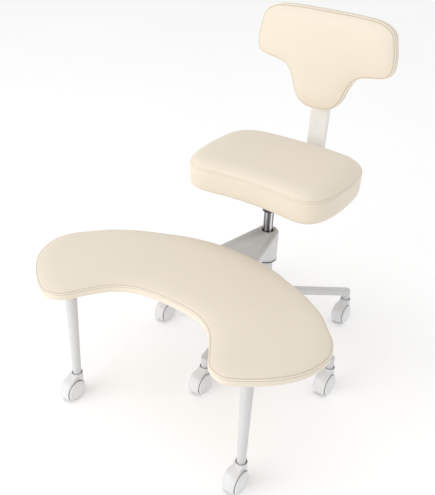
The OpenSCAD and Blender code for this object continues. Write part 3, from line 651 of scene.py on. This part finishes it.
# Sizes and places of the pads, in millimetres. Count is the number of points along an edge, board the height
# of the pocket, spine its share of the width, cap the most that the cover swells and groove the seam's depth.
SEAT_Z = 503
FOOT_Z = 371
SEAT_AT = Matrix.Translation((0, 0, SEAT_Z))
FOOT_AT = Matrix.Translation((0, 0, FOOT_Z))
RECLINE = Matrix.Rotation(math.radians(-3), 4, "X")
UPRIGHT = Matrix.Rotation(math.pi / 2, 4, "X")
BACK_AT = Matrix.Translation((0, 244.94, 545.64)) @ RECLINE @ UPRIGHT

seat_pad = {
    "shares": SEAT_SHARES, "half_w": 219, "length": 320, "shift": -137, "count": 108, "board": 12, "band": 61,
    "crown": 25, "rim": 45, "rim_share": 0.93, "spine": 0.78, "roll": (6.8, 19), "cap": 5, "groove": 0.8}
back_pad = {
    "shares": BACK_SHARES, "half_w": 207, "length": -271, "shift": 390, "count": 116, "board": 10, "band": 28,
    "crown": 13, "rim": 44, "rim_share": 0.82, "spine": 0.86, "roll": (6, 9), "cap": 5, "groove": 1.6}
foot_pad = {
    "shares": FOOT_SHARES, "half_w": 405, "length": -432, "shift": -183, "count": 170, "board": 12,
    "band": 20, "crown": 10, "rim": 48, "rim_share": 0.95, "spine": 0.86, "roll": (7, 12), "cap": 5,
    "groove": 1.1}

upholster("seat_upholstery", "seat_cushion", "seat", seat_pad, SEAT_AT)
upholster("back_upholstery", "back_cushion", "seat", back_pad, BACK_AT)
upholster("footrest_upholstery", "footrest_cushion", "footrest", foot_pad, FOOT_AT)

# Frame parts with rounded edges

WELD_GAP = 2e-6
FLAT_ANGLE = math.radians(0.4)
SHARP_ANGLE = math.radians(34)


def softened(name, node, body, width, segments=3, shape=None):
    """A copy of a part whose sharp edges are rounded off."""
    mesh = nodes[node].data.copy()
    mesh.name = name
    bm = bmesh.new()
    bm.from_mesh(mesh)
    bmesh.ops.remove_doubles(bm, verts=bm.verts, dist=WELD_GAP)
    bmesh.ops.dissolve_limit(bm, angle_limit=FLAT_ANGLE, verts=bm.verts, edges=bm.edges)
    if shape:
        shape(bm)
    bm.to_mesh(mesh)
    bm.free()
    obj = bpy.data.objects.new(name, mesh)
    bpy.context.scene.collection.objects.link(obj)
    for polygon in mesh.polygons:
        polygon.use_smooth = True
    bevel = obj.modifiers.new("round", "BEVEL")
    bevel.width = width * MM
    bevel.segments = segments
    bevel.limit_method = "ANGLE"
    bevel.angle_limit = SHARP_ANGLE
    bevel.harden_normals = True
    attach(obj, body)
    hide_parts(node)


BRACKET_TOP_GAP = 0.2
BRACKET_HOLE_R = 25
BEND_R = 8
BEND_STEPS = 6
BEND_ANGLE = math.radians(40)


def bent_top(bm):
    """The bracket's top plate, under the footrest, turns down into its sides in a wide bend."""

    def on_rim(v):
        return v.co.z > (FOOT_Z - BRACKET_TOP_GAP) * MM and v.co.xy.length > BRACKET_HOLE_R * MM

    rim = [e for e in bm.edges if all(on_rim(v) for v in e.verts) and e.calc_face_angle(0) > BEND_ANGLE]
    bmesh.ops.bevel(bm, geom=rim, offset=BEND_R * MM, segments=BEND_STEPS, profile=0.5, affect="EDGES")


softened("base_star", "star_base", "base", width=2.2)
softened("swing_bracket", "swing_arm", "footrest", width=1.0, segments=2, shape=bent_top)
softened("back_upright", "back_bar", "seat", width=1.8)

# Casters: rounded hoods, and wheels as a dished disc with a dark tread, whose dark colour also paints the
# shade in the gap between hood and disc

CASTERS = 7
CAP_PROFILE = (
    (27.0, 2.8), (28.4, 2.85), (28.9, 3.2), (29.0, 4.4), (28.8, 5.8), (28.0, 7.1), (26.7, 8.1), (25.2, 8.5),
    (24.0, 8.3), (23.4, 7.6), (22.7, 7.2), (21.8, 7.4), (20.4, 7.7), (15.0, 8.1), (9.0, 8.35), (3.0, 8.48),
    (0.02, 8.5), (0.02, 4.2), (3.3, 4.2), (3.3, 2.8))
TREAD_PROFILE = (
    (3.3, -8.5), (10.5, -8.5), (11.5, -7.6), (21.0, -7.6), (22.0, -8.5), (25.6, -8.4), (27.3, -7.4),
    (28.2, -5.6), (28.4, -3.0), (28.4, 2.0), (27.7, 2.9), (3.3, 2.9))
WHEEL_SIDES = 64


def turned(name, body, material, profile, centre, axis):
    """A round wheel piece turned about an axis from its closed section: radius and place along the axis."""
    side = axis.orthogonal().normalized()
    along = side.cross(axis)
    verts = []
    for r, x in profile:
        for s in range(WHEEL_SIDES):
            turn = 2 * math.pi * s / WHEEL_SIDES
            verts.append(centre + (axis * x + (along * math.cos(turn) + side * math.sin(turn)) * r) * MM)
    obj = mesh_object(name, verts, ring_faces(0, len(profile), WHEEL_SIDES, closed=True), material)
    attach(obj, body)
    return obj


def middle(node):
    return sum(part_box(node), Vector()) / 2


for i in range(1, CASTERS + 1):
    softened(f"caster_{i}_shell", f"caster_{i}_hood", f"caster_{i}", width=0.8, segments=2)
    for one, other in (("left", "right"), ("right", "left")):
        node, body = f"caster_{i}_{one}_wheel", f"caster_{i}_{one}"
        outward = (middle(node) - middle(f"caster_{i}_{other}_wheel")).normalized()
        disc = turned(body + "_disc", body, finishes["wheel_plastic"], CAP_PROFILE, middle(node), outward)
        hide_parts(node)
        turned(body + "_tread", body, dark_tread_and_gap_shade, TREAD_PROFILE, middle(node), outward)

# Studio: a pale floor, a soft front light, a soft top light and an even white surround

WHITE = (1, 1, 1, 1)
FLOOR_HALF = 8.0
FLOOR_STEPS = 4
FLOOR_GLOW = 0.16
SURROUND_GLOW = 0.80


def add_floor():
    lines = [-FLOOR_HALF + 2 * FLOOR_HALF * k / FLOOR_STEPS for k in range(FLOOR_STEPS + 1)]
    row = len(lines)
    faces = [(j * row + i, j * row + i + 1, (j + 1) * row + i + 1, (j + 1) * row + i)
             for j in range(FLOOR_STEPS) for i in range(FLOOR_STEPS)]
    f = Finish("pale_floor", specular=0.05)
    f.colour(f.blend(f.ranged(f.noise(1.5, 2), 0, 1), (0.93, 0.93, 0.93), (0.95, 0.95, 0.95)))
    f.gloss(f.ranged(f.noise(20, 3), 0.85, 0.95))
    f.shader.inputs["Emission Color"].default_value = WHITE
    f.shader.inputs["Emission Strength"].default_value = FLOOR_GLOW
    floor = mesh_object("floor", [(x, y, 0) for y in lines for x in lines], faces, f.mat)


def add_light(name, at, aim, size, power):
    data = bpy.data.lights.new(name, "AREA")
    data.shape = "RECTANGLE"
    data.size, data.size_y = size
    data.energy = power
    light = bpy.data.objects.new(name, data)
    light.location = at
    light.rotation_euler = (Vector(aim) - Vector(at)).to_track_quat("-Z", "Y").to_euler()
    bpy.context.scene.collection.objects.link(light)


def add_surround():
    world = bpy.data.worlds.new("studio")
    world.use_nodes = True
    surround = world.node_tree.nodes["Background"]
    surround.inputs["Color"].default_value = WHITE
    surround.inputs["Strength"].default_value = SURROUND_GLOW
    bpy.context.scene.world = world


add_floor()
add_light("front_soft", (-1.3, -2.9, 1.6), (0, 0, 0.3), size=(3.0, 1.6), power=40)
add_light("top_soft", (0, -0.4, 3.2), (0, -0.4, 0), size=(4.0, 4.0), power=8)
add_surround()
bpy.context.scene.view_settings.view_transform = "Standard"
